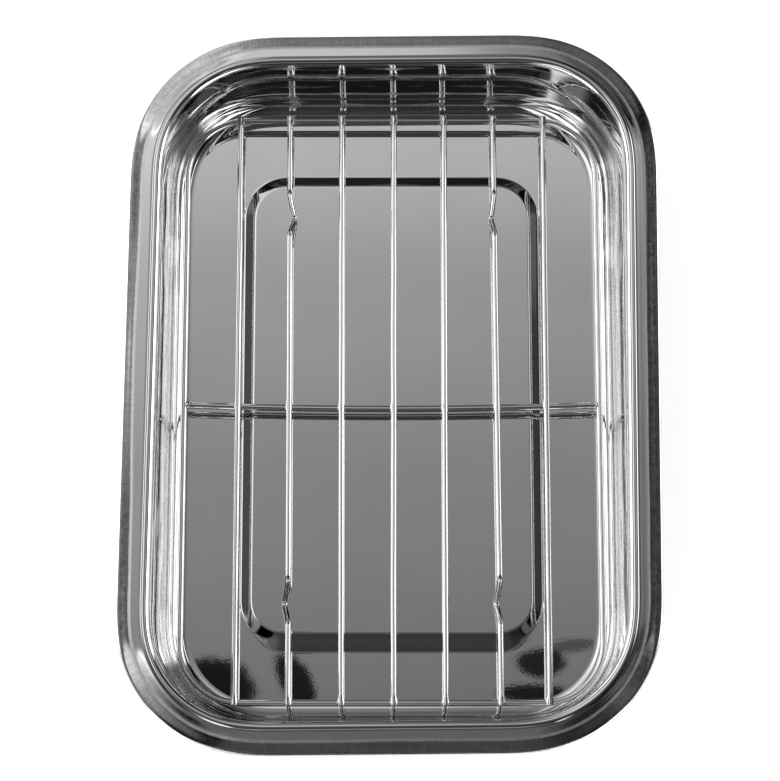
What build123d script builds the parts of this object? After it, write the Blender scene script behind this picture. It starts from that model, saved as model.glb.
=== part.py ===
from build123d import *
import os
from math import asin, atan2, cos, degrees, hypot, radians, sin, sqrt

os.makedirs("parts", exist_ok=True)

# Pan of pressed sheet, in millimetres: origin in the middle of its underside, +Z up, Y along its length
pan_width = 270.0
pan_length = 372.0
pan_height = 50.0
sheet = 0.8
rim_corner_radius = 70.0

# Section of the wall and rim, in mm and degrees: every bend radius is that of the sheet's middle line
floor_bend_radius = 10.4
wall_draft = 7.0
bead_radius = 2.6
bead_fall = 30.0
crease_radius = 1.8
flange_fall = 2.0
flange_flat = 6.2
lip_radius = 8.0
lip_fall = 32.0
curl_radius = 1.8
curl_turn = 170.0

# Raised panel pressed into the floor, inside a gentle ramp
panel_rise = 1.6
ramp_width = 10.0
panel_side_border = 24.7
panel_end_border = 28.2
panel_corner_radius = 16.0

# Rack of round wire: the grid wires lie on top of a closed frame and of one cross wire
frame_wire = 3.5
grid_wire = 3.0
grid_wires = 7
grid_pitch = 26.4
rack_height = 13.3
rack_side_gap = 5.3
rack_end_gap = 9.2
rack_forward = 1.8
corner_pull = 18.0
cross_bow = 2.1
weld_sink = 0.25
wire_end_round = 0.5

# Feet: V dips in two of the grid wires, which stand on the raised panel
footed_wires = (2, 6)
foot_gap = 0.3
foot_inset = 14.3
foot_run = 13.5
foot_shoulder_radius = 5.0
foot_tip_radius = 3.5


def straight(length):
    return (length, 0.0)


def bend(radius, turn):
    return (radius, turn)


def toward(angle, length=1):
    return Vector(cos(radians(angle)), sin(radians(angle))) * length


def trace(start, heading, steps, shift=0.0):
    """Edges of a line that runs through straights and bends, moved sideways to its left by shift."""
    point = Vector(*start)
    edges = []
    for size, turn in steps:
        aside = toward(heading + 90, shift)
        if turn == 0.0:
            ahead = toward(heading, size)
            edges.append(Line(point + aside, point + aside + ahead))
            point = point + ahead
            continue
        side = 1 if turn > 0 else -1
        centre = point + toward(heading + 90 * side, size)
        first = heading - 90 * side
        arc = [centre + toward(first + turn * share, size - side * shift) for share in (0, 0.5, 1)]
        edges.append(ThreePointArc(*arc))
        point = centre + toward(first + turn, size)
        heading = heading + turn
    return edges


def strip_section(start, heading, steps, rounded_end=False):
    """Closed section of the sheet along straights and bends of its middle line."""
    left_side = trace(start, heading, steps, sheet / 2)
    right_side = trace(start, heading, steps, -sheet / 2)
    last = right_side[-1] @ 1
    start_cap = Line(right_side[0] @ 0, left_side[0] @ 0)
    end_cap = Line(left_side[-1] @ 1, last)
    if rounded_end:
        nose = (left_side[-1] @ 1 + last) / 2 + (left_side[-1] % 1) * (sheet / 2)
        end_cap = ThreePointArc(left_side[-1] @ 1, nose, last)
    return make_face(left_side + right_side + [start_cap, end_cap])


def rounded_outline(half_x, half_y, radius, z):
    flat = RectangleRounded(2 * half_x, 2 * half_y, radius)
    return flat.face().outer_wire().moved(Location((0, 0, z)))


def around(section, half_x, half_y, radius, z=0.0):
    """Carries a section round a rounded rectangle, with the section's x pointing outward."""
    path = rounded_outline(half_x, half_y, radius, z)
    ahead = path % 0
    seat = Plane(origin=path @ 0, x_dir=ahead.cross(Vector(0, 0, 1)), z_dir=-ahead)
    return sweep(seat * section, path=path)


# Reach and rise of each stretch of the wall, from the flat floor's edge to the rim's outer edge
wall_angle = 90 - wall_draft
wall_turned = 1 - cos(radians(wall_angle))
floor_bend_reach = floor_bend_radius * sin(radians(wall_angle))
bead_reach = bead_radius * sin(radians(wall_angle))
wall_rise = pan_height - sheet - (floor_bend_radius + bead_radius) * wall_turned
wall_length = wall_rise / sin(radians(wall_angle))
wall_inset = floor_bend_reach + wall_length * cos(radians(wall_angle)) + bead_reach
crease_reach = crease_radius * (sin(radians(bead_fall)) - sin(radians(flange_fall)))
lip_reach = lip_radius * (sin(radians(lip_fall)) - sin(radians(flange_fall)))
curl_reach = curl_radius * (1 - sin(radians(lip_fall))) + sheet / 2
flange_reach = bead_radius * sin(radians(bead_fall)) + crease_reach
flange_reach += flange_flat * cos(radians(flange_fall)) + lip_reach + curl_reach

# The flat floor, the panel in it and the foot of the wall
floor_half_x = pan_width / 2 - flange_reach - wall_inset
floor_half_y = pan_length / 2 - flange_reach - wall_inset
floor_corner = rim_corner_radius - flange_reach - wall_inset
ramp_half_x = floor_half_x - panel_side_border
ramp_half_y = floor_half_y - panel_end_border
panel_half_x = ramp_half_x - ramp_width
panel_half_y = ramp_half_y - ramp_width
wall_foot = (floor_bend_radius - sheet / 2) * sin(radians(wall_angle))

# The rack in it: middle lines of its wires, about the rack's own middle
frame_half_x = floor_half_x + wall_foot - rack_side_gap - frame_wire / 2
frame_half_y = floor_half_y + wall_foot - rack_end_gap - frame_wire / 2
frame_corner = floor_corner + wall_foot - corner_pull
grid_z = sheet + rack_height
frame_z = grid_z - (grid_wire + frame_wire) / 2 + weld_sink

# A foot: two shoulders and a tip joined by slanting legs, as deep as the panel lies below the grid
foot_y = panel_half_y - foot_inset
foot_depth = rack_height - panel_rise - foot_gap - grid_wire / 2
foot_bends = foot_shoulder_radius + foot_tip_radius
foot_lean = asin(foot_bends / hypot(foot_run, foot_depth - foot_bends))
foot_slope = degrees(atan2(foot_depth - foot_bends, foot_run) + foot_lean)
foot_leg = (foot_run - foot_bends * sin(radians(foot_slope))) / cos(radians(foot_slope))


def make_pan():
    """One pressed sheet: flat floor, raised panel, drafted wall, beaded top, flange and curled lip."""
    wall_and_rim = [
        bend(floor_bend_radius, wall_angle),
        straight(wall_length),
        bend(bead_radius, -wall_angle - bead_fall),
        bend(crease_radius, bead_fall - flange_fall),
        straight(flange_flat),
        bend(lip_radius, flange_fall - lip_fall),
        bend(curl_radius, -curl_turn),
    ]
    wall = strip_section((0, sheet / 2), 0, wall_and_rim, rounded_end=True)
    pan = around(wall, floor_half_x, floor_half_y, floor_corner)

    ramp_slope = degrees(2 * atan2(panel_rise, ramp_width))
    ramp_bend = ramp_width / (2 * sin(radians(ramp_slope)))
    ramp_steps = [bend(ramp_bend, -ramp_slope), bend(ramp_bend, ramp_slope)]
    ramp = strip_section((0, panel_rise + sheet / 2), 0, ramp_steps)
    pan += around(ramp, panel_half_x, panel_half_y, panel_corner_radius)

    floor = make_face(rounded_outline(floor_half_x, floor_half_y, floor_corner, 0))
    floor -= make_face(rounded_outline(ramp_half_x, ramp_half_y, panel_corner_radius + ramp_width, 0))
    pan += extrude(floor, sheet, dir=(0, 0, 1))
    panel = make_face(rounded_outline(panel_half_x, panel_half_y, panel_corner_radius, panel_rise))
    pan += extrude(panel, sheet, dir=(0, 0, 1))
    return pan


def make_frame_wire():
    """The rack's outer wire, bent to a closed rounded rectangle."""
    section = Pos(0, frame_z) * Circle(frame_wire / 2)
    return around(section, frame_half_x, frame_half_y, frame_corner)


def make_cross_wire():
    """The wire across the middle of the rack, bowed towards the front and welded between the frame's sides."""
    end = frame_half_x - frame_wire / 2 + weld_sink
    path = ThreePointArc((-end, 0, frame_z), (0, -cross_bow, frame_z), (end, 0, frame_z))
    section = Plane(origin=path @ 0, z_dir=path % 0) * Circle(frame_wire / 2)
    return sweep(section, path=path)


def frame_reach(x):
    """How far the frame's outer side lies from the middle, along Y, at this x."""
    past_straight = max(0, abs(x) - (frame_half_x - frame_corner))
    return frame_half_y - frame_corner + sqrt(frame_corner ** 2 - past_straight ** 2) + frame_wire / 2


def make_grid_wire(x, footed):
    """A wire along the rack, cut off flush with the frame at both ends; a footed one dips to two feet."""
    reach = frame_reach(x)
    steps = [straight(2 * reach)]
    if footed:
        shoulder = bend(foot_shoulder_radius, -foot_slope)
        leg = straight(foot_leg)
        foot = [shoulder, leg, bend(foot_tip_radius, 2 * foot_slope), leg, shoulder]
        end_run = straight(reach - foot_y - foot_run)
        steps = [end_run] + foot + [straight(2 * (foot_y - foot_run))] + foot + [end_run]
    along = Plane(origin=(x, 0, 0), x_dir=(0, 1, 0), z_dir=(1, 0, 0))
    path = along * Wire(trace((-reach, grid_z), 0, steps))
    wire = sweep(Plane(origin=path @ 0, z_dir=path % 0) * Circle(grid_wire / 2), path=path)
    ends = wire.faces().sort_by(Axis.Y)
    return fillet(ends[0].edges() + ends[-1].edges(), wire_end_round)


# The rack lies loose in the pan, a little nearer the front
rack_place = Pos(0, -rack_forward, 0)
pieces = {
    "pan_shell": make_pan(),
    "rack_frame_wire": rack_place * make_frame_wire(),
    "cross_wire": rack_place * make_cross_wire(),
}
for number in range(1, grid_wires + 1):
    is_footed = number in footed_wires
    name = f"{'footed' if is_footed else 'grid'}_wire_{number}"
    x = (number - (grid_wires + 1) / 2) * grid_pitch
    pieces[name] = rack_place * make_grid_wire(x, is_footed)

for name, piece in pieces.items():
    export_step(piece, f"parts/{name}.step")
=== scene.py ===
from math import asin, atan2, cos, degrees, pi, radians, sin, sqrt

import bmesh
import bpy
from mathutils import Matrix, Vector, noise


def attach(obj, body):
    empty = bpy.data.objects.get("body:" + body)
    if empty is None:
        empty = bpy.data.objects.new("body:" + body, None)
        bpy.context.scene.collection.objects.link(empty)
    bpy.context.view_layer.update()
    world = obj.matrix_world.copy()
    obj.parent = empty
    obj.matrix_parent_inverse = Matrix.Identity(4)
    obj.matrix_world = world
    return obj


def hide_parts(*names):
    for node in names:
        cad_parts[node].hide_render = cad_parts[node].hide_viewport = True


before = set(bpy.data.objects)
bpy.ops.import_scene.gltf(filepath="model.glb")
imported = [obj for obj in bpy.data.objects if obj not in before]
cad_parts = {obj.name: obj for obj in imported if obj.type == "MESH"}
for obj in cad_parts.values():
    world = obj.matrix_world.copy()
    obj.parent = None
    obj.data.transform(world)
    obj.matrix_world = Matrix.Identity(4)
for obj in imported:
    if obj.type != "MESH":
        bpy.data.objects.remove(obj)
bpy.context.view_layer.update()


# ---------------------------------------------------------------------------------------------------
# Pan: one sheet of stainless steel, deep-drawn to a flat floor with a raised panel, a drafted wall, a
# beaded top edge, a flange and a rolled-down lip. The inside is polished to a mirror, the flange less
# so, the outside is left satin and given a painted shade, and the lip keeps the marks of the trimming
# and curling rolls.
mm = 0.001
sheet = 0.8 * mm
pan_height = 50 * mm
floor_half_width = 103.918 * mm
floor_half_length = 154.918 * mm
floor_corner = 38.918 * mm
panel_half_width = 70.7 * mm
panel_half_length = 118.2 * mm
panel_rise = 1.6 * mm

# Bends of the sheet's middle line, each a radius and an angle in degrees, and its flat stretches
floor_bend, wall_turn = 10.4 * mm, 83
bead_bend, bead_fall = 2.6 * mm, 30
crease_bend, flange_fall = 1.8 * mm, 2
lip_bend, lip_turn = 4.5 * mm, 16
curl_bend, curl_turn = 1.2 * mm, 184
ramp_bend, ramp_slope = 4 * mm, 16
flange_flat = 4.9 * mm
lip_flat = 4.64 * mm
land = 0.4 * mm

# Corners as seen from above, in stretches: degrees turned, radius in mm and number of cuts
wall_corner = [(2, 150, 1), (3, 95, 1), (5, 62, 2), (70, 37.08, 24), (5, 62, 2), (3, 95, 1), (2, 150, 1)]
ramp_corner = [(4, 40, 2), (6, 24, 2), (70, 15.42, 24), (6, 24, 2), (4, 40, 2)]
cuts_along_side = 16
cuts_across_end = 10


def ahead(heading):
    return Vector((cos(radians(heading)), 0, sin(radians(heading))))


def draw_section(bm, start, steps):
    """Draws the sheet's middle line through straights and bends, marks how far along it each point is,
    and returns its edges. A step is a length or radius, the degrees turned, and a number of cuts."""
    distance = bm.verts.layers.float["up_the_wall"]
    tip = bm.verts.new(start)
    line, heading = [tip], 0
    for size, turn, cuts in steps:
        if turn == 0:
            for _ in range(cuts):
                tip = bmesh.ops.extrude_vert_indiv(bm, verts=[tip])["verts"][0]
                tip.co += ahead(heading) * size / cuts
                line.append(tip)
            continue
        centre = tip.co + ahead(heading + (90 if turn > 0 else -90)) * size
        known = set(bm.verts)
        made = bmesh.ops.spin(bm, geom=[tip], cent=centre, axis=(0, -1, 0), angle=radians(turn), steps=cuts)
        tip = [v for v in made["geom_last"] if isinstance(v, bmesh.types.BMVert)][0]
        line += [v for v in bm.verts if v not in known]
        heading += turn
    for before, after in zip(line, line[1:]):
        after[distance] = before[distance] + (after.co - before.co).length
    return [e for e in bm.edges if e.verts[0] in line and e.verts[1] in line]


def carry_straight(bm, edges, way, cuts):
    for _ in range(cuts):
        made = bmesh.ops.extrude_edge_only(bm, edges=edges)["geom"]
        verts = [g for g in made if isinstance(g, bmesh.types.BMVert)]
        edges = [g for g in made if isinstance(g, bmesh.types.BMEdge)]
        bmesh.ops.translate(bm, vec=way / cuts, verts=verts)
    return edges


def carry_round_a_corner(bm, edges, half_width, half_length, corner):
    """Carries a section from the middle of the pan's right side, round an eased corner, to the middle
    of its end."""
    turned, rise = 0, 0
    for turn, radius, cuts in corner:
        rise += radius * mm * (sin(radians(turned + turn)) - sin(radians(turned)))
        turned += turn
    edges = carry_straight(bm, edges, Vector((0, half_length - rise, 0)), cuts_along_side)
    tip, turned = Vector((half_width, half_length - rise, 0)), 0
    for turn, radius, cuts in corner:
        centre = tip - Matrix.Rotation(radians(turned), 3, "Z") @ Vector((radius * mm, 0, 0))
        verts = list({v for e in edges for v in e.verts})
        made = bmesh.ops.spin(
            bm, geom=edges + verts, cent=centre, axis=(0, 0, 1), angle=radians(turn), steps=cuts
        )
        edges = [g for g in made["geom_last"] if isinstance(g, bmesh.types.BMEdge)]
        turned += turn
        tip = centre + Matrix.Rotation(radians(turned), 3, "Z") @ Vector((radius * mm, 0, 0))
    carry_straight(bm, edges, Vector((-tip.x, 0, 0)), cuts_across_end)


def edges_at(bm, layer, mark):
    return [e for e in bm.edges if all(v[layer] == mark for v in e.verts)]


wall_rise = pan_height - sheet - (floor_bend + bead_bend) * (1 - cos(radians(wall_turn)))
wall_and_rim = [
    (land, 0, 1),
    (floor_bend, wall_turn, 22),
    (wall_rise / sin(radians(wall_turn)), 0, 8),
    (bead_bend, -wall_turn - bead_fall, 18),
    (crease_bend, bead_fall - flange_fall, 6),
    (flange_flat, 0, 5),
    (lip_bend, -lip_turn, 6),
    (lip_flat, 0, 5),
    (curl_bend, -curl_turn, 16),
]
ramp_flank = (panel_rise - 2 * ramp_bend * (1 - cos(radians(ramp_slope)))) / sin(radians(ramp_slope))
ramp = [
    (land, 0, 1),
    (ramp_bend, -ramp_slope, 8),
    (ramp_flank, 0, 4),
    (ramp_bend, ramp_slope, 8),
    (land, 0, 1),
]

bm = bmesh.new()
up = bm.verts.layers.float.new("up_the_wall")
place = bm.verts.layers.int.new("place")
on_wall_mark, floor_edge_mark, ramp_foot_mark, panel_edge_mark = 1, 2, 3, 4
floor_line = draw_section(bm, (floor_half_width - land, 0, sheet / 2), wall_and_rim)
for v in bm.verts:
    v[place] = on_wall_mark
min((v for e in floor_line for v in e.verts), key=lambda v: v[up])[place] = floor_edge_mark
carry_round_a_corner(bm, floor_line, floor_half_width, floor_half_length, wall_corner)
walls = set(bm.verts)
ramp_line = draw_section(bm, (panel_half_width - land, 0, panel_rise + sheet / 2), ramp)
ends = sorted((v for v in bm.verts if v not in walls), key=lambda v: v[up])
ends[0][place], ends[-1][place] = panel_edge_mark, ramp_foot_mark
carry_round_a_corner(bm, ramp_line, panel_half_width, panel_half_length, ramp_corner)
for v in bm.verts:
    if v not in walls:
        v[up] = 0

# The floor's border joins wall and ramp, and the panel is filled by rings that shrink to its middle
border = edges_at(bm, place, floor_edge_mark) + edges_at(bm, place, ramp_foot_mark)
across = bmesh.ops.bridge_loops(bm, edges=border)["edges"]
bmesh.ops.subdivide_edges(bm, edges=across, cuts=5, use_grid_fill=True)
ring = edges_at(bm, place, panel_edge_mark)
size_now = 1
for share in (0.93, 0.84, 0.74, 0.63, 0.51, 0.38, 0.24, 0.1, 0.0):
    made = bmesh.ops.extrude_edge_only(bm, edges=ring)["geom"]
    ring = [g for g in made if isinstance(g, bmesh.types.BMEdge)]
    verts = [g for g in made if isinstance(g, bmesh.types.BMVert)]
    bmesh.ops.scale(bm, vec=(share / size_now, share / size_now, 1), verts=verts)
    size_now = share

for axis in "XY":
    bmesh.ops.mirror(bm, geom=bm.verts[:] + bm.edges[:] + bm.faces[:], merge_dist=0.001 * mm, axis=axis)
bmesh.ops.remove_doubles(bm, verts=bm.verts, dist=0.01 * mm)
bmesh.ops.recalc_face_normals(bm, faces=bm.faces)
middle = min(bm.faces, key=lambda f: f.calc_center_median().xy.length)
if middle.normal.z < 0:
    bmesh.ops.reverse_faces(bm, faces=bm.faces)

# The drawn sheet isn't quite true. Its rim is a little out of square, the wall ripples along its
# length, the lip's crease wanders and fades out round the corners, where flange and lip run into one
# slope, and the panel's ramp is longer at the front than elsewhere.
round_the_rim = bm.verts.layers.float.new("round_the_rim")
corner_share = bm.verts.layers.float.new("corner_share")
corner_x, corner_y = floor_half_width - floor_corner, floor_half_length - floor_corner
corner_radius = 60 * mm
out_of_square = 0.0095
front_ramp_spread = 3.8 * mm
corner_drop = 0.62 * mm
ripple_depth, fine_ripple_depth = 0.07, 0.012
crease_inward = -0.8

# Places along the sheet's middle line, in mm from the edge of the flat floor
ripple_start, ripple_end = 4, 56
wall_top = 54
flange_start = 60
lip_bend_start, lip_bend_end, lip_end = 64.4, 65.66, 70
drop_start, drop_rise = 59.5, 5.57
drop_end, drop_fade = 70.4, 5.33


def eased(value, low, high):
    share = max(0, min(1, (value - low) / (high - low)))
    return share * share * (3 - 2 * share)


def near(distance, width):
    """1 at no distance, falling off like a bell."""
    return 2.718 ** -((distance / width) ** 2)


bm.normal_update()
for v in bm.verts:
    x, y = abs(v.co.x), abs(v.co.y)
    turned = atan2(max(0, y - corner_y), max(1e-9, x - corner_x))
    v[round_the_rim] = min(y - corner_y, 0) + corner_radius * turned + max(0, corner_x - x)
    v[corner_share] = eased(degrees(turned), 6, 30) * (1 - eased(degrees(turned), 60, 84))
    climbed = v[up] / mm
    here = Vector(v.co) / mm

    if climbed == 0:
        past_ramp = eased(-here.y, panel_half_length / mm, 125) - eased(-here.y, 128, 150)
        v.co.y -= front_ramp_spread * past_ramp * (1 - eased(x / mm, 70, 86))
        continue

    end_wall = 0.3 + 0.7 * eased(y / mm, 120, 150)
    rippling = max(0, min(1, (climbed - ripple_start) / 10, (ripple_end - climbed) / 8)) * end_wall
    spot = Vector((here.x / 38, here.y / 38, climbed / 16))
    fine = Vector((here.x / 13, here.y / 13, climbed / 9))
    depth = ripple_depth * noise.noise(spot) + fine_ripple_depth * noise.noise(fine)
    v.co += v.normal * rippling * mm * depth

    # The lip's crease lies inward of its true line, most so on the right, and outward at the left
    side_x, side_y = (1 if here.x > 0 else -1), (1 if here.y > 0 else -1)
    outward = Vector((max(0, x - corner_x) * side_x, max(0, y - corner_y) * side_y, 0))
    wander = crease_inward - 0.5 * eased(here.x, 60, 130)
    wander += 1.5 * near(here.y - 10, 65) * eased(-here.x, 60, 120)
    wander += 0.35 * noise.noise(Vector((here.x / 40, here.y / 40, 3.1)))
    at_crease = eased(climbed, flange_start, lip_bend_start) * (1 - eased(climbed, lip_bend_end, lip_end))
    v.co += outward.normalized() * wander * at_crease * mm
    dropping = max(0, min((climbed - drop_start) / drop_rise, (drop_end - climbed) / drop_fade))
    v.co.z -= corner_drop * v[corner_share] * dropping

    pulled = out_of_square * min(1, climbed / wall_top)
    v.co.x += here.y * mm * pulled
    v.co.y += here.x * mm * pulled
for face in bm.faces:
    face.smooth = True
mesh = bpy.data.meshes.new("pan")
bm.to_mesh(mesh)
bm.free()
pan = bpy.data.objects.new("pan", mesh)
bpy.context.scene.collection.objects.link(pan)
thickness = pan.modifiers.new("thickness", "SOLIDIFY")
thickness.thickness = sheet
thickness.offset = 0
thickness.use_even_offset = True
cut_edge = pan.modifiers.new("cut edge", "BEVEL")
cut_edge.width = 0.3 * mm
cut_edge.segments = 3
cut_edge.limit_method = "ANGLE"
cut_edge.angle_limit = radians(60)

# The finish. Bands of the sheet are given as four distances up the wall: start, full, fading and end.
polished_band = (2 * mm, 12 * mm, 52 * mm, 58 * mm)
brushed_band = (10 * mm, 16 * mm, 34 * mm, 40 * mm)
crease_band = (58.3 * mm, 58.8 * mm, 59.5 * mm, 60.1 * mm)
lip_bend_band = (64.0 * mm, 64.5 * mm, 65.5 * mm, 66.0 * mm)
lip_shift_at_corners = 4.5 * mm
steel_tone = 0.66
lip_roll_tone, lip_stain_tone, cloud_tone = 0.4, 0.3, 0.06
# The crease's tone is painted shade: it darkens the side walls' crease under the flange.
# The outside's tone is painted shade: it darkens the outer face, whose real satin finish is in its roughness.
crease_painted_shade, outside_painted_shade = -0.4, -0.22
mirror_rough, cloud_rough = 0.008, 0.012
brushed_rough, flange_rough, outside_rough = 0.15, 0.03, 0.2
crease_rough, lip_bend_rough = 0.15, 0.28


def add(tree, kind, **sockets):
    """Adds a node and sets or links its sockets, named with underscores for spaces, or _0, _1 by place."""
    node = tree.nodes.new("ShaderNode" + kind)
    for name, value in sockets.items():
        socket = node.inputs[int(name[1:])] if name[0] == "_" else node.inputs[name.replace("_", " ")]
        if isinstance(value, bpy.types.NodeSocket):
            tree.links.new(value, socket)
        else:
            socket.default_value = value
    return node


def calc(tree, operation, *values):
    node = add(tree, "Math", **{f"_{place}": value for place, value in enumerate(values)})
    node.operation = operation
    return node.outputs[0]


def plus(tree, base, mask, amount):
    """Adds the amount to the base where the mask is 1."""
    return calc(tree, "MULTIPLY_ADD", mask, amount, base)


def between(tree, value, low, high, from_value=0.0, to_value=1.0):
    """Eases from one number to another as a value goes from low to high."""
    node = add(tree, "MapRange", Value=value, From_Min=low, From_Max=high, To_Min=from_value, To_Max=to_value)
    node.interpolation_type = "SMOOTHSTEP"
    return node.outputs["Result"]


def band(tree, value, stops):
    """1 between the two middle stops, easing down to 0 at the outer two."""
    start, full, fading, end = stops
    return calc(tree, "MULTIPLY", between(tree, value, start, full), between(tree, value, fading, end, 1, 0))


def attribute(tree, name):
    node = add(tree, "Attribute")
    node.attribute_name = name
    return node.outputs["Fac"]


def marks(tree, around, climb, across, along, detail=2.0):
    """Noise in marks of the given width round the rim and length up the wall, in metres."""
    run, rise = calc(tree, "DIVIDE", around, across), calc(tree, "DIVIDE", climb, along)
    vector = add(tree, "CombineXYZ", X=run, Y=rise).outputs[0]
    return add(tree, "TexNoise", Vector=vector, Scale=1.0, Detail=detail).outputs["Fac"]


def about_zero(tree, value):
    return calc(tree, "SUBTRACT", value, 0.5)


def dress_metal(tree, tone, rough):
    """Makes a material bare metal of a grey tone and a roughness, and returns its shader node."""
    surface = tree.nodes["Principled BSDF"]
    surface.inputs["Metallic"].default_value = 1
    grey = add(tree, "CombineColor", Red=tone, Green=tone, Blue=tone).outputs[0]
    tree.links.new(grey, surface.inputs["Base Color"])
    tree.links.new(rough, surface.inputs["Roughness"])
    return surface


steel = bpy.data.materials.new("polished sheet steel")
steel.use_nodes = True
shader = steel.node_tree
around, climb = attribute(shader, "round_the_rim"), attribute(shader, "up_the_wall")
cornered = attribute(shader, "corner_share")
object_place = add(shader, "TexCoord").outputs["Object"]
here_xyz = add(shader, "SeparateXYZ", _0=object_place)

# Where each finish lies: the lip reaches further in at the corners, where its crease has faded out
on_lip = between(shader, plus(shader, climb, cornered, lip_shift_at_corners), 64.6 * mm, 65.6 * mm)
on_flange = between(shader, climb, 57 * mm, 60 * mm)
on_wall = band(shader, climb, polished_band)
on_side = between(shader, calc(shader, "ABSOLUTE", here_xyz.outputs["X"]), 95 * mm, 104 * mm)
in_crease = calc(shader, "MULTIPLY", band(shader, climb, crease_band), on_side)
at_lip_bend = band(shader, climb, lip_bend_band)
facing = add(shader, "SeparateXYZ", _0=add(shader, "TexCoord").outputs["Normal"])
outward_x = calc(shader, "MULTIPLY", facing.outputs["X"], here_xyz.outputs["X"])
outward_y = calc(shader, "MULTIPLY", facing.outputs["Y"], here_xyz.outputs["Y"])
faces_out = between(shader, calc(shader, "ADD", outward_x, outward_y), 0.0, 0.02)
faces_down = between(shader, facing.outputs["Z"], -0.5, -0.2, 1, 0)
below_rim = between(shader, climb, 50 * mm, 55 * mm, 1, 0)
off_floor = between(shader, climb, 2 * mm, 6 * mm)
outside = calc(shader, "MULTIPLY", calc(shader, "MAXIMUM", faces_out, faces_down), below_rim)
outside = calc(shader, "MULTIPLY", outside, calc(shader, "MAXIMUM", faces_down, off_floor))

roll_marks = marks(shader, around, climb, 0.55 * mm, 9 * mm, 2.0)
stains = marks(shader, around, climb, 3 * mm, 2 * mm, 4.0)
long_smears = marks(shader, around, climb, 30 * mm, 4 * mm, 2.0)
clouds = add(shader, "TexNoise", Vector=object_place, Scale=28.0, Detail=4.0).outputs["Fac"]
specks = add(shader, "TexNoise", Vector=object_place, Scale=900.0, Detail=2.0).outputs["Fac"]

smeared_rough = between(shader, long_smears, 0.5, 0.7, 0.0, 0.25)
stained_rough = between(shader, stains, 0.3, 0.75, 0.05, 0.09)
below_bead = calc(shader, "MULTIPLY", band(shader, climb, brushed_band), brushed_rough)
rough = plus(shader, mirror_rough, clouds, cloud_rough)
rough = plus(shader, rough, smeared_rough, on_wall)
rough = calc(shader, "ADD", calc(shader, "MULTIPLY", on_side, below_bead), rough)
rough = plus(shader, rough, on_flange, flange_rough)
rough = plus(shader, rough, on_lip, stained_rough)
rough = plus(shader, rough, in_crease, crease_rough)
rough = plus(shader, rough, at_lip_bend, lip_bend_rough)
rough = plus(shader, rough, outside, outside_rough)

roll_tone = calc(shader, "MULTIPLY", on_lip, lip_roll_tone)
stain_tone = calc(shader, "MULTIPLY", on_lip, lip_stain_tone)
tone = plus(shader, steel_tone, about_zero(shader, roll_marks), roll_tone)
tone = plus(shader, tone, about_zero(shader, stains), stain_tone)
tone = plus(shader, tone, about_zero(shader, clouds), cloud_tone)
# Painted shade: the crease under the flange along the side walls is darkened almost to black
tone = plus(shader, tone, in_crease, crease_painted_shade)
# Painted shade: the outer face is made a darker grey, beside its real, rougher satin finish
tone = plus(shader, tone, outside, outside_painted_shade)

lip_marks = calc(shader, "MULTIPLY", roll_marks, on_lip)
scratches = add(shader, "Bump", Strength=0.15, Distance=0.003 * mm, Height=lip_marks)
grain = add(shader, "Bump", Strength=0.25, Distance=0.004 * mm, Height=specks, Normal=scratches.outputs[0])
surface = dress_metal(shader, tone, rough)
shader.links.new(grain.outputs[0], surface.inputs["Normal"])
mesh.materials.append(steel)
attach(pan, "pan")
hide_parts("pan_shell")


# ---------------------------------------------------------------------------------------------------
# Rack's outer wire: round stainless wire, polished, bent to a closed rounded rectangle and
# butt-welded. The rack lies loose in the pan, a little nearer the front.
frame_wire = 3.5 * mm
rack_forward = 1.8 * mm
frame_half_width = 106.793 * mm
frame_half_length = 153.893 * mm
frame_corner = 30.843 * mm
frame_level = 11.1 * mm
wire_sides = 24
wire_tone, drawn_tone = 0.66, 0.08
wire_rough, worn_rough = 0.05, 0.05


def draw_wire(bm, start, heading, bend_axis, diameter, steps):
    """Draws a round wire along straights and bends, and returns the edges of its last ring. A step is
    a length or radius, the degrees turned, and a number of cuts."""
    ring = bmesh.ops.create_circle(bm, cap_ends=False, radius=diameter / 2, segments=wire_sides)["verts"]
    bmesh.ops.rotate(bm, verts=ring, matrix=Vector((0, 0, 1)).rotation_difference(heading).to_matrix())
    bmesh.ops.translate(bm, verts=ring, vec=start)
    edges = list({e for v in ring for e in v.link_edges})
    middle, way = Vector(start), Vector(heading)
    for size, turn, cuts in steps:
        if turn == 0:
            edges = carry_straight(bm, edges, way * size, cuts)
            middle += way * size
            continue
        to_centre = bend_axis.cross(way) * (size if turn > 0 else -size)
        verts = list({v for e in edges for v in e.verts})
        made = bmesh.ops.spin(
            bm, geom=edges + verts, cent=middle + to_centre, axis=bend_axis, angle=radians(turn), steps=cuts
        )
        edges = [g for g in made["geom_last"] if isinstance(g, bmesh.types.BMEdge)]
        spun = Matrix.Rotation(radians(turn), 3, bend_axis)
        middle = middle + to_centre - spun @ to_centre
        way = spun @ way
    return edges


def finish_wire(bm, name, node, material):
    """Turns a drawn wire into its piece, in place of its CAD node, riding on the rack."""
    bmesh.ops.remove_doubles(bm, verts=bm.verts, dist=0.005 * mm)
    bmesh.ops.recalc_face_normals(bm, faces=bm.faces)
    for face in bm.faces:
        face.smooth = True
    wire_mesh = bpy.data.meshes.new(name)
    bm.to_mesh(wire_mesh)
    bm.free()
    wire_mesh.materials.append(material)
    wire = bpy.data.objects.new(name, wire_mesh)
    bpy.context.scene.collection.objects.link(wire)
    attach(wire, "rack")
    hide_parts(node)


wire_steel = bpy.data.materials.new("polished wire")
wire_steel.use_nodes = True
shader = wire_steel.node_tree
object_place = add(shader, "TexCoord").outputs["Object"]
drawn = add(shader, "TexNoise", Vector=object_place, Scale=260.0, Detail=2.0).outputs["Fac"]
worn = add(shader, "TexNoise", Vector=object_place, Scale=60.0, Detail=3.0).outputs["Fac"]
rough = plus(shader, wire_rough, between(shader, worn, 0.4, 0.7), worn_rough)
dress_metal(shader, plus(shader, wire_tone, drawn, drawn_tone), rough)

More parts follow.
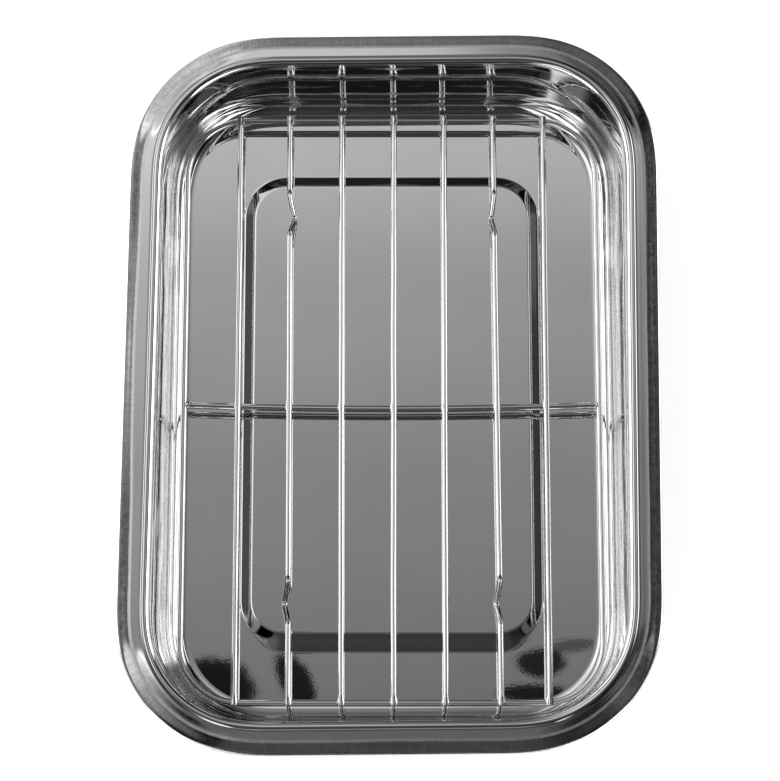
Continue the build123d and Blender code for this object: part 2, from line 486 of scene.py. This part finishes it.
half_side = frame_half_length - frame_corner
half_end = frame_half_width - frame_corner
frame_start = Vector((frame_half_width, -rack_forward, frame_level))
frame_steps = [
    (half_side, 0, 12),
    (frame_corner, 90, 18),
    (2 * half_end, 0, 16),
    (frame_corner, 90, 18),
    (2 * half_side, 0, 24),
    (frame_corner, 90, 18),
    (2 * half_end, 0, 16),
    (frame_corner, 90, 18),
    (half_side, 0, 12),
]
bm = bmesh.new()
draw_wire(bm, frame_start, Vector((0, 1, 0)), Vector((0, 0, 1)), frame_wire, frame_steps)
finish_wire(bm, "outer_wire", "rack_frame_wire", wire_steel)


# ---------------------------------------------------------------------------------------------------
# Cross wire: the same wire, cut to length, bowed a little towards the front and butt-welded between
# the outer wire's two sides. It swells a little at the welds.
cross_bow = 2.1 * mm
weld_sink = 0.25 * mm
cross_end = frame_half_width - frame_wire / 2 + weld_sink
bow_radius = (cross_end ** 2 + cross_bow ** 2) / (2 * cross_bow)
bow_turn = degrees(asin(cross_end / bow_radius))
weld_swell, weld_reach = 0.16, 1.6

bm = bmesh.new()
cross_start = Vector((-cross_end, -rack_forward, frame_level))
start_way = Vector((cos(radians(bow_turn)), -sin(radians(bow_turn)), 0))
draw_wire(bm, cross_start, start_way, Vector((0, 0, 1)), frame_wire, [(bow_radius, 2 * bow_turn, 120)])
bmesh.ops.holes_fill(bm, edges=bm.edges, sides=0)
for v in bm.verts:
    to_end = (cross_end - abs(v.co.x)) / mm
    collar = 1 + weld_swell * near(to_end, weld_reach)
    axis_y = -rack_forward - cross_bow * (1 - (v.co.x / cross_end) ** 2)
    v.co.z = frame_level + (v.co.z - frame_level) * collar
    v.co.y = axis_y + (v.co.y - axis_y) * collar
finish_wire(bm, "cross_wire_welded", "cross_wire", wire_steel)


# ---------------------------------------------------------------------------------------------------
# Grid wires: seven thinner wires laid along the rack and resistance-welded on top of the outer wire's
# ends and the cross wire. The second and sixth dip in a V near each end: these are the rack's feet.
grid_wire = 3 * mm
grid_pitch = 26.4 * mm
grid_level = 14.1 * mm
foot_place = 102.418 * mm
foot_run = 13.5 * mm
foot_slope = 44.696
foot_leg = 10.581 * mm
foot_shoulder = 5 * mm
foot_tip = 3.5 * mm

# How far each wire's back and front end lie off their place to the right, and how far the back and
# front feet lean that way over their depth, all in mm
strays = {
    1: (0.2, 0.2),
    2: (-0.4, 0.6),
    3: (0.3, 1.0),
    4: (1.1, 0.9),
    5: (1.0, 0.8),
    6: (0.3, 2.3),
    7: (0.2, 0.2),
}
foot_leans = {2: (2.3, -2.0), 6: (-1.4, -1.6)}
lean_depth = 9.9
waver = 0.12 * mm

# Welds, as shares of the wire's radius: how much it is squashed, the bead pressed out beside it, and
# how much its top is flattened
front_squash, back_squash, cross_squash = 0.30, 0.22, 0.20
cross_burr, end_burr = 0.35, 0.25
end_flat = 0.18

foot = [
    (foot_shoulder, -foot_slope, 8),
    (foot_leg, 0, 4),
    (foot_tip, 2 * foot_slope, 14),
    (foot_leg, 0, 4),
    (foot_shoulder, -foot_slope, 8),
]
for number in range(1, 8):
    x = (number - 4) * grid_pitch
    past = max(0, abs(x) - half_end)
    reach = half_side + sqrt(frame_corner ** 2 - past ** 2) + frame_wire / 2
    steps = [(2 * reach, 0, 150)]
    if number in foot_leans:
        end_run = reach - foot_place - foot_run
        steps = [(end_run, 0, 24)] + foot + [(2 * (foot_place - foot_run), 0, 90)] + foot + [(end_run, 0, 24)]
    bm = bmesh.new()
    wire_start = Vector((x, -reach - rack_forward, grid_level))
    last_ring = draw_wire(bm, wire_start, Vector((0, 1, 0)), Vector((1, 0, 0)), grid_wire, steps)
    first_ring = [e for e in bm.edges if e.is_boundary and e not in last_ring]
    bmesh.ops.holes_fill(bm, edges=bm.edges, sides=0)
    bmesh.ops.bevel(
        bm, geom=first_ring + last_ring, offset=0.45 * mm, segments=3, profile=0.5, affect="EDGES", material=-1
    )
    cross_y = -rack_forward - cross_bow * (1 - (x / cross_end) ** 2)
    back_stray, front_stray = strays[number]
    back_lean, front_lean = foot_leans.get(number, (0, 0))
    for v in bm.verts:
        side, over = (v.co.x - x) / (grid_wire / 2), (v.co.z - grid_level) / (grid_wire / 2)
        along_y = v.co.y + rack_forward
        to_end = (reach - abs(along_y)) / mm
        at_cross = near((v.co.y - cross_y) / mm, 1.5)
        at_end = near(to_end - 1.8, 1.7)
        end_squash = front_squash if along_y < 0 else back_squash
        squash = end_squash * at_end + cross_squash * at_cross * max(0, 0.4 - over)
        burr = cross_burr * at_cross * max(0, -side)
        burr += end_burr * at_end * max(0, -side if number % 2 else side)
        if abs(over) <= 1.001:
            v.co.x += side * squash * grid_wire / 2 + side * abs(burr) * grid_wire / 2
            v.co.z -= max(0, over) * end_flat * at_end * grid_wire / 2
        lean = back_lean if along_y > 0 else front_lean
        at_foot = near((abs(along_y) - foot_place) / mm, 16)
        dipped = max(0, grid_level - v.co.z) * at_foot if at_foot > 0.2 else 0
        v.co.x += lean * dipped / lean_depth
        share = along_y / reach / 2 + 0.5
        v.co.x += (back_stray * share + front_stray * (1 - share)) * mm
        v.co.x += waver * noise.noise(Vector((number * 7.3, along_y / mm / 45, 0.5)))
    kind = "footed_wire" if number in foot_leans else "grid_wire"
    finish_wire(bm, f"{kind}_{number}_welded", f"{kind}_{number}", wire_steel)


# ---------------------------------------------------------------------------------------------------
# Table, studio light and camera, none of them part of the object. The table is a round white sheet
# that glows, the light is a bright panel with strips at its sides and cards hung in front, and the
# camera looks down from a little in front.
table_glow = 0.66
bm = bmesh.new()
bmesh.ops.create_circle(bm, cap_ends=True, radius=8, segments=96)
table_mesh = bpy.data.meshes.new("table")
bm.to_mesh(table_mesh)
bm.free()
table = bpy.data.objects.new("table", table_mesh)
bpy.context.scene.collection.objects.link(table)
white = bpy.data.materials.new("white table")
white.use_nodes = True
shader = white.node_tree
shader.nodes.clear()
ray = add(shader, "LightPath").outputs
seen = calc(shader, "MAXIMUM", ray["Is Camera Ray"], ray["Is Glossy Ray"])
seen = calc(shader, "MAXIMUM", seen, ray["Is Transmission Ray"])
paint = add(shader, "BsdfDiffuse", Color=(0.8, 0.8, 0.8, 1))
glow = add(shader, "Emission", Strength=calc(shader, "MULTIPLY", seen, table_glow))
both = add(shader, "AddShader", _0=paint.outputs[0], _1=glow.outputs[0])
add(shader, "OutputMaterial", Surface=both.outputs[0])
table_mesh.materials.append(white)

world = bpy.data.worlds.new("studio")
bpy.context.scene.world = world
world.use_nodes = True
studio = world.node_tree
studio.nodes.clear()
brightest = 8


def profile(angle, stops):
    """A brightness that follows an angle in degrees, from -90 to 90, through the given stops."""
    follow = add(studio, "ValToRGB", Fac=calc(studio, "MULTIPLY_ADD", angle, 1 / 180, 0.5))
    follow.color_ramp.interpolation = "EASE"
    elements = follow.color_ramp.elements
    while len(elements) < len(stops):
        elements.new(0.5)
    for element, (degree, value) in zip(elements, sorted(stops)):
        element.position = (degree + 90) / 180
        element.color = (value / brightest, value / brightest, value / brightest, 1)
    return calc(studio, "MULTIPLY", follow.outputs["Color"], brightest)


# Every direction as degrees to the right and degrees towards the back, off straight up
direction = add(studio, "TexCoord").outputs["Generated"]
x_way, y_way, z_way = add(studio, "SeparateXYZ", _0=direction).outputs
sideways = calc(studio, "MULTIPLY", calc(studio, "ARCTAN2", x_way, z_way), 180 / pi)
behind = calc(studio, "MULTIPLY", calc(studio, "ARCSINE", y_way), 180 / pi)

# The panel isn't even: its brightness is taken some degrees further on at the back right and the
# front left, and some degrees less far on at the back left
back_right = calc(studio, "MULTIPLY", between(studio, sideways, -1, 3), between(studio, behind, 18, 22))
front_left = calc(
    studio, "MULTIPLY", between(studio, sideways, -9, -4, 1, 0), between(studio, behind, 4, 10, 1, 0)
)
back_left = calc(studio, "MULTIPLY", between(studio, sideways, -10, -5, 1, 0), between(studio, behind, 19, 23))
panel_angle = plus(studio, behind, back_right, 7)
panel_angle = plus(studio, panel_angle, front_left, 4)
panel_angle = plus(studio, panel_angle, back_left, -4)

# Brightness at these degrees: the panel from front to back, its strength from left to right, and the
# strips of light to its left and right
backdrop_stops = [(-90, 0.05), (-52, 0.045), (-47, 0.1), (-43, 0.6), (-40, 0.45), (-38, 0.04)]
backdrop_stops += [(-33, 0.018), (-29, 0.11), (-12, 0.06), (0, 0.15), (2.5, 0.21), (4.5, 0.2), (6.6, 0.19)]
backdrop_stops += [(7.6, 0.25), (9, 0.32), (12, 0.4), (16, 0.565), (19, 0.81), (24, 0.97), (28, 0.92)]
backdrop_stops += [(34, 0.35), (46, 0.33), (54, 0.27), (60, 0.19), (72, 0.2), (84, 0.26)]
width_stops = [(-20, 0), (-16, 1.5), (-9, 1.35), (-4, 1.05), (4, 0.97), (10, 0.85), (12, 0.6), (15, 0.45)]
width_stops += [(20, 0.48), (22, 0)]
left_stops = [(-90, 1.5), (-85, 4), (-60, 4), (-50, 0.5), (-42, 0.34), (-39.5, 0.27), (-36, 0.13)]
left_stops += [(-33.5, 0.11), (-30, 1.8), (-17.5, 1.8), (-14, 0)]
right_stops = [(21.5, 0), (24, 1.8), (26.5, 1.8), (28.3, 0.06), (33, 0.04), (37, 0.1), (40, 0.06)]
right_stops += [(44, 0.07), (48, 0.05), (56, 4), (85, 4), (90, 1.5)]
left_run_stops = [(-89, 0.1), (-60, 1), (-34, 1), (-29, 0.2), (-8, 0.2), (6, 1), (26, 1), (34, 0.7)]
left_run_stops += [(60, 0.5), (89, 0.1)]
right_run_stops = [(-89, 0.1), (-60, 1), (-34, 1), (-29, 0.06), (-8, 0.1), (6, 1), (26, 1), (32, 0.08)]
right_run_stops += [(60, 0.08), (89, 0.05)]
backdrop = profile(panel_angle, backdrop_stops)
panel_width = profile(sideways, width_stops)
left_light = calc(studio, "MULTIPLY", profile(sideways, left_stops), profile(behind, left_run_stops))
right_light = calc(studio, "MULTIPLY", profile(sideways, right_stops), profile(behind, right_run_stops))
light = calc(studio, "MULTIPLY_ADD", backdrop, panel_width, calc(studio, "ADD", left_light, right_light))

# Ragged-edged cards in front of the light, in degrees: the middle across and up, the half width and
# half height, the lean, and how black each is; below 0 it is a lighter patch instead. The first six
# make the dark patches at the floor's front, the others shade or light the rim and its corners.
cards = [
    (-3.45, 8.45, 0.9, 0.62, 0, 0.95),
    (-1.82, 8.62, 0.34, 0.55, -0.4, 0.94),
    (2.92, 8.95, 0.48, 0.28, 0, 0.92),
    (2.75, 8.38, 0.7, 0.18, 0, 0.94),
    (3.47, 9.27, 0.5, 0.14, 1.2, 0.6),
    (2.4, 9.42, 0.25, 0.12, 0, 0.6),
    (-18, -15, 7, 8, 0, 1),
    (25, 26, 4, 5, 0, 1),
    (-40, 30, 7, 13, 0, -1.3),
    (-21, 32, 5.5, 12, 0, 0.45),
    (-19.5, -4, 4.5, 4, 0, 0.4),
    (18.5, -3.5, 2.8, 2.8, 0, -1.8),
    (24.5, 0.5, 3, 5.5, 0, 0.85),
    (35.8, 18.5, 1.6, 3.4, 0, -1.5),
]
raggedness = 0.7
card_edge_in, card_edge_out = 0.84, 1.1
ragged = add(studio, "TexNoise", Vector=direction, Scale=420.0, Detail=5.0, Roughness=0.7).outputs["Fac"]
for across, up_high, half_width, half_height, lean, black in cards:
    rise = calc(studio, "SUBTRACT", behind, up_high)
    leaning = calc(studio, "MULTIPLY", rise, lean)
    run = calc(studio, "SUBTRACT", calc(studio, "SUBTRACT", sideways, across), leaning)
    run, rise = calc(studio, "DIVIDE", run, half_width), calc(studio, "DIVIDE", rise, half_height)
    squares = [calc(studio, "MULTIPLY", part, part) for part in (run, rise)]
    apart = calc(studio, "SQRT", calc(studio, "ADD", *squares))
    apart = plus(studio, apart, about_zero(studio, ragged), raggedness)
    shade = between(studio, apart, card_edge_in, card_edge_out, 1 - black, 1)
    light = calc(studio, "MULTIPLY", light, shade)

# The camera itself sees plain white where it looks past the table
first_hit = add(studio, "LightPath").outputs["Is Camera Ray"]
unseen = calc(studio, "SUBTRACT", 1, first_hit)
shining = add(studio, "Background", Strength=calc(studio, "MULTIPLY_ADD", light, unseen, first_hit))
add(studio, "OutputWorld", Surface=shining.outputs[0])

camera_data = bpy.data.cameras.new("camera")
camera_data.lens = 137.9
camera_data.sensor_width = 36
camera_data.clip_end = 50
camera = bpy.data.objects.new("camera", camera_data)
camera.location = (-0.00083, -0.37075, 1.5032)
camera.rotation_euler = (radians(14.168), 0, 0)
bpy.context.scene.collection.objects.link(camera)
bpy.context.scene.camera = camera
bpy.context.scene.view_settings.view_transform = "Standard"
